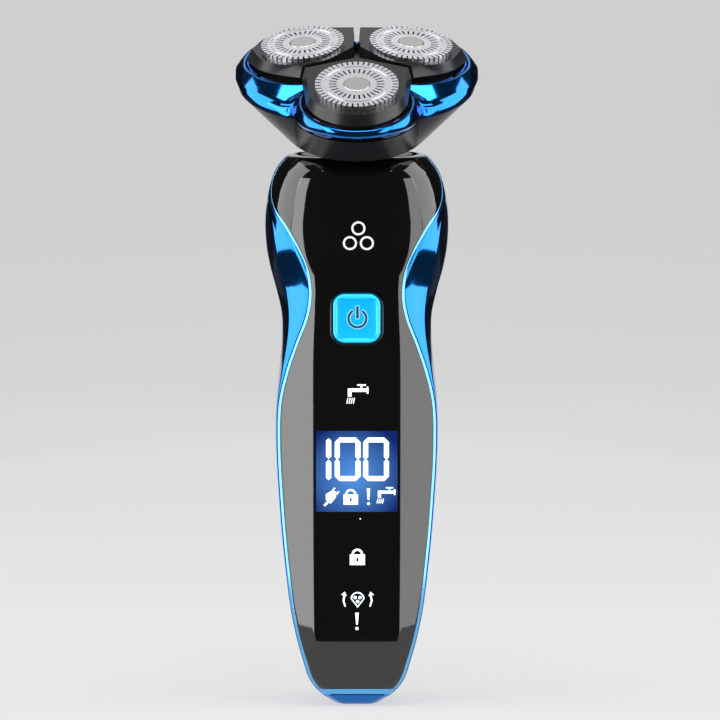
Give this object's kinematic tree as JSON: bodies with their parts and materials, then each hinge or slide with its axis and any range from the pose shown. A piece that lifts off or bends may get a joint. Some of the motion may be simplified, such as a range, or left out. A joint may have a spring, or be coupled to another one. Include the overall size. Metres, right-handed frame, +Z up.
{
  "type": "electric shaver",
  "caption": "Cordless rotary shaver: waisted handle with lit display and power button, and a tilting head that carries floating round cutters and hinges open.",
  "frame": {"origin": "centre of the flat foot under the handle", "axes": "+Z up the handle towards the head, front with the button and display towards -Y, +X to the right seen from the front"},
  "size_m": [0.0608, 0.0544, 0.1694],
  "materials": {
    "piano_black": "moulded gloss black",
    "blue_plated": "electroplated candy blue over ABS",
    "trim_blue": "polished light blue plating",
    "window": "tinted lens",
    "button_blue": "translucent blue",
    "rubber_black": "soft ribbed",
    "seal": "soft",
    "board": "glass epoxy board",
    "white_abs": "moulded",
    "black_satin": "satin moulded",
    "grey_cover": "satin dark grey",
    "cell": "sleeved cell",
    "nickel": "nickel strip",
    "steel": "stamped and polished",
    "screw_steel": "blackened",
    "acetal": "moulded acetal"
  },
  "bodies": {
    "handle": {"front_cover": "piano_black", "trim_ring": "trim_blue", "rear_housing": "blue_plated", "bottom_cap": "blue_plated", "display_window": "window", "button_surround": "piano_black", "button_membrane": "seal", "rear_grip": "rubber_black", "housing_gasket": "seal", "control_board": "board", "tact_switch": "black_satin", "display_module": "white_abs", "housing_screws": "screw_steel", "chassis": "white_abs", "battery": "cell", "battery_tabs": "nickel", "motor_end_bell": "white_abs", "motor_can": "steel", "neck_collar": "piano_black", "neck_seal": "seal", "charging_socket": "steel", "charge_board": "board"},
    "button": {"power_button": "button_blue"},
    "motor_rotor": {"motor_shaft": "steel", "drive_coupler": "acetal"},
    "socket": {"head_socket": "black_satin"},
    "gimbal": {"gimbal_ring": "acetal", "pivot_pins": "steel"},
    "head_base": {"lower_cover": "grey_cover", "gear_tray": "white_abs", "gear_cover": "white_abs", "cover_screws": "screw_steel"},
    "sun": {"input_shaft": "steel", "sun_gear": "acetal"},
    "cap": {"head_ring": "blue_plated", "pod_carrier": "black_satin", "hinge_pin": "steel"},
    "drive_front": {"driven_gear_front": "acetal", "spindle_front": "steel", "spring_front": "steel"},
    "float_front": {"pod_front": "black_satin", "guard_front": "steel", "guard_disc_front": "steel"},
    "blade_front": {"cutter_front": "steel"},
    "drive_right": {"driven_gear_right": "acetal", "spindle_right": "steel", "spring_right": "steel"},
    "float_right": {"pod_right": "black_satin", "guard_right": "steel", "guard_disc_right": "steel"},
    "blade_right": {"cutter_right": "steel"},
    "drive_left": {"driven_gear_left": "acetal", "spindle_left": "steel", "spring_left": "steel"},
    "float_left": {"pod_left": "black_satin", "guard_left": "steel", "guard_disc_left": "steel"},
    "blade_left": {"cutter_left": "steel"}
  },
  "joints": [
    {"name": "button_press", "type": "slide", "parent": "handle", "child": "button", "axis": [0, 1, 0], "range_m": [0, 0.0005], "stiffness_N_per_m": 400},
    {"name": "motor_spin", "type": "hinge", "parent": "handle", "child": "motor_rotor", "pos_m": [0, -0.003, 0.13], "axis": [0, 0, 1], "continuous": true},
    {"name": "head_pull", "type": "slide", "parent": "handle", "child": "socket", "axis": [0, 0, 1], "range_m": [0, 0.014]},
    {"name": "head_tilt", "type": "hinge", "parent": "socket", "child": "gimbal", "pos_m": [0, -0.003, 0.1482], "axis": [1, 0, 0], "range_deg": [-6, 6], "stiffness_Nm_per_rad": 0.6},
    {"name": "head_roll", "type": "hinge", "parent": "gimbal", "child": "head_base", "pos_m": [0, -0.003, 0.1482], "axis": [0, 0.9272, 0.3746], "range_deg": [-6, 6], "stiffness_Nm_per_rad": 0.6},
    {"name": "sun_spin", "type": "hinge", "parent": "head_base", "child": "sun", "pos_m": [0, -0.003, 0.1482], "axis": [0, -0.3746, 0.9272], "continuous": true},
    {"name": "cap_open", "type": "hinge", "parent": "head_base", "child": "cap", "pos_m": [0, 0.01905, 0.16304], "axis": [-1, 0, 0], "range_deg": [0, 95]},
    {"name": "gear_spin_front", "type": "hinge", "parent": "head_base", "child": "drive_front", "pos_m": [0, -0.01896, 0.14607], "axis": [0, -0.3746, 0.9272], "continuous": true},
    {"name": "pod_tilt_front", "type": "hinge", "parent": "cap", "child": "float_front", "pos_m": [0, -0.03296, 0.14738], "axis": [-1, 0, 0], "range_deg": [0, 3], "stiffness_Nm_per_rad": 0.2},
    {"name": "cutter_spin_front", "type": "hinge", "parent": "float_front", "child": "blade_front", "pos_m": [0, -0.02346, 0.15719], "axis": [0, -0.4695, 0.8829], "continuous": true},
    {"name": "gear_spin_right", "type": "hinge", "parent": "head_base", "child": "drive_right", "pos_m": [0.01351, 0.00273, 0.15483], "axis": [0, -0.3746, 0.9272], "continuous": true},
    {"name": "pod_tilt_right", "type": "hinge", "parent": "cap", "child": "float_right", "pos_m": [0.02433, 0.0061, 0.16316], "axis": [0.5, -0.803, -0.3244], "range_deg": [0, 3], "stiffness_Nm_per_rad": 0.2},
    {"name": "cutter_spin_right", "type": "hinge", "parent": "float_right", "child": "blade_right", "pos_m": [0.01351, -0.00176, 0.16596], "axis": [0.0905, -0.3241, 0.9417], "continuous": true},
    {"name": "gear_spin_left", "type": "hinge", "parent": "head_base", "child": "drive_left", "pos_m": [-0.01351, 0.00273, 0.15483], "axis": [0, -0.3746, 0.9272], "continuous": true},
    {"name": "pod_tilt_left", "type": "hinge", "parent": "cap", "child": "float_left", "pos_m": [-0.02433, 0.0061, 0.16316], "axis": [0.5, 0.803, 0.3244], "range_deg": [0, 3], "stiffness_Nm_per_rad": 0.2},
    {"name": "cutter_spin_left", "type": "hinge", "parent": "float_left", "child": "blade_left", "pos_m": [-0.01351, -0.00176, 0.16596], "axis": [-0.0905, -0.3241, 0.9417], "continuous": true}
  ],
  "couplings": [
    {"joint": "motor_spin", "follows": "sun_spin", "ratio": 1},
    {"joint": "gear_spin_front", "follows": "sun_spin", "ratio": -2.25},
    {"joint": "cutter_spin_front", "follows": "sun_spin", "ratio": -2.25},
    {"joint": "gear_spin_right", "follows": "sun_spin", "ratio": -2.25},
    {"joint": "cutter_spin_right", "follows": "sun_spin", "ratio": -2.25},
    {"joint": "gear_spin_left", "follows": "sun_spin", "ratio": -2.25},
    {"joint": "cutter_spin_left", "follows": "sun_spin", "ratio": -2.25}
  ]
}
